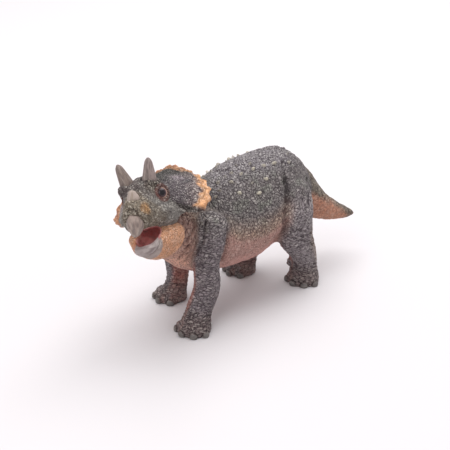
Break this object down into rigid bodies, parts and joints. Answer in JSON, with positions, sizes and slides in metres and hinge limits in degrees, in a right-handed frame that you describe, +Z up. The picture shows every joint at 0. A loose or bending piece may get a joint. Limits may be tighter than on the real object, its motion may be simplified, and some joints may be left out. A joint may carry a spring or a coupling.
{
  "type": "toy dinosaur figure",
  "caption": "Moulded toy figure of a young horned dinosaur, walking, with a scalloped neck frill, brow horns, a beak and an open mouth.",
  "frame": {"origin": "on the ground under the middle of the whole figure's box", "axes": "+Z up, -Y the way the animal faces along its trunk, +X its left side"},
  "size_m": [0.043, 0.1322, 0.0718],
  "materials": {
    "hide": "painted, matt",
    "collar": "painted, matt",
    "throat": "painted, matt",
    "horn": "painted, satin"
  },
  "bodies": {
    "root": {"torso": "hide", "tail": "hide", "leg_front_left": "hide", "leg_front_right": "hide", "leg_rear_left": "hide", "leg_rear_right": "hide", "head": "hide", "frill": "collar", "lower_jaw": "throat", "lower_beak": "horn", "upper_beak": "horn", "brow_horn_left": "horn", "brow_horn_right": "horn", "nose_horn": "horn"}
  },
  "joints": []
}
